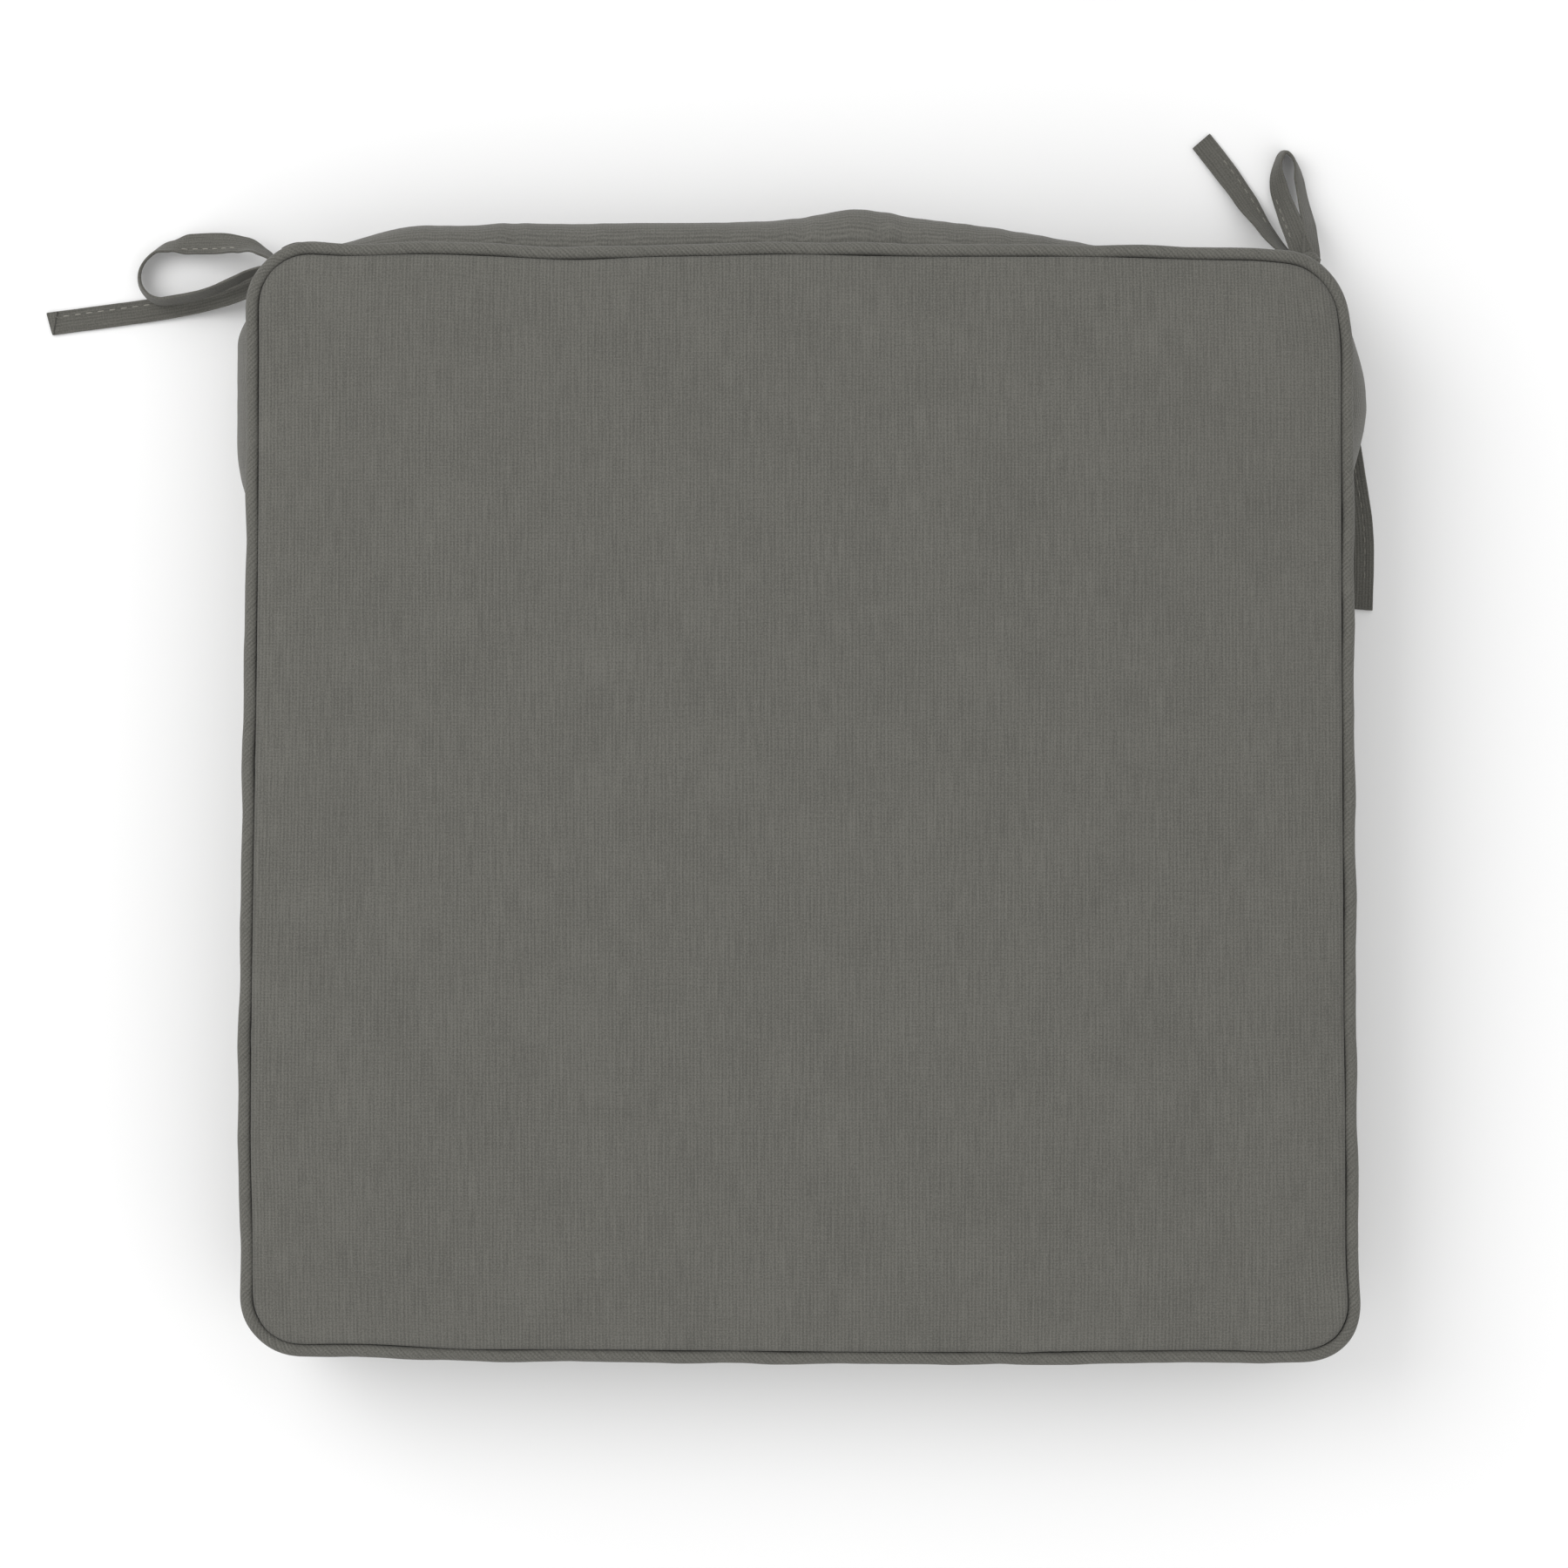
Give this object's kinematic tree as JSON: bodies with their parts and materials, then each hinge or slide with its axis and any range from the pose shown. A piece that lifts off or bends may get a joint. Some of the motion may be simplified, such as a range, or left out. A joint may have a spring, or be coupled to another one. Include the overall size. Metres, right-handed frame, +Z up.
{
  "type": "chair seat pad",
  "caption": "Square boxed chair seat pad with welted edges, crowned top, zipped rear boxing and tape ties knotted at the rear corners.",
  "frame": {"origin": "centre of the flat underside, on the surface the pad lies on", "axes": "+X to the right of someone sitting on the pad and facing front, +Y to the rear edge with the ties and the zip, +Z up"},
  "size_m": [0.622, 0.571, 0.08],
  "materials": {
    "cover_cloth": "matte",
    "tie_cloth": "matte",
    "piping_cord": "matte",
    "foam": "matte",
    "fibre": "matte",
    "zip_tape": "matte",
    "zip_coil": "satin",
    "zip_metal": "satin"
  },
  "bodies": {
    "pad": {"top_panel": "cover_cloth", "bottom_panel": "cover_cloth", "side_boxing": "cover_cloth", "rear_boxing_upper": "cover_cloth", "rear_boxing_lower": "cover_cloth", "top_welt_sleeve": "cover_cloth", "top_welt_cord": "piping_cord", "bottom_welt_sleeve": "cover_cloth", "bottom_welt_cord": "piping_cord", "foam_core": "foam", "fibre_wrap_top": "fibre", "fibre_wrap_bottom": "fibre", "zip_tape_upper": "zip_tape", "zip_tape_lower": "zip_tape", "zip_coil_upper": "zip_coil", "zip_coil_lower": "zip_coil", "zip_bottom_stop": "zip_metal", "zip_top_stops": "zip_metal", "zip_end_tabs": "cover_cloth", "left_tie_root": "tie_cloth", "left_knot": "tie_cloth", "right_tie_root": "tie_cloth", "right_knot": "tie_cloth"},
    "zip_slider": {"zip_slider": "zip_metal"},
    "zip_pull": {"zip_pull": "zip_metal"},
    "left_bow": {"left_loop": "tie_cloth", "left_tail": "tie_cloth"},
    "left_rear_strand": {"left_rear_tail": "tie_cloth"},
    "right_bow": {"right_loop": "tie_cloth", "right_tail": "tie_cloth"},
    "right_side_strand": {"right_side_tail": "tie_cloth"}
  },
  "joints": [
    {"name": "zip_slide", "type": "slide", "parent": "pad", "child": "zip_slider", "axis": [1, 0, 0], "range_m": [-0.376, 0]},
    {"name": "pull_flip", "type": "hinge", "parent": "zip_slider", "child": "zip_pull", "pos_m": [0.188, 0.2517, 0.022], "axis": [0, 0, -1], "range_deg": [0, 180]},
    {"name": "left_bow_swing", "type": "hinge", "parent": "pad", "child": "left_bow", "pos_m": [-0.242, 0.2497, 0.028], "axis": [0, 0, 1], "range_deg": [-20, 12]},
    {"name": "left_rear_tail_swing", "type": "hinge", "parent": "pad", "child": "left_rear_strand", "pos_m": [-0.242, 0.2497, 0.028], "axis": [0, 0, 1], "range_deg": [0, 18]},
    {"name": "right_bow_swing", "type": "hinge", "parent": "pad", "child": "right_bow", "pos_m": [0.2376, 0.2521, 0.028], "axis": [0, 0, 1], "range_deg": [-35, 15]},
    {"name": "right_side_tail_swing", "type": "hinge", "parent": "pad", "child": "right_side_strand", "pos_m": [0.2376, 0.2521, 0.028], "axis": [0, 0, 1], "range_deg": [0, 35]}
  ]
}
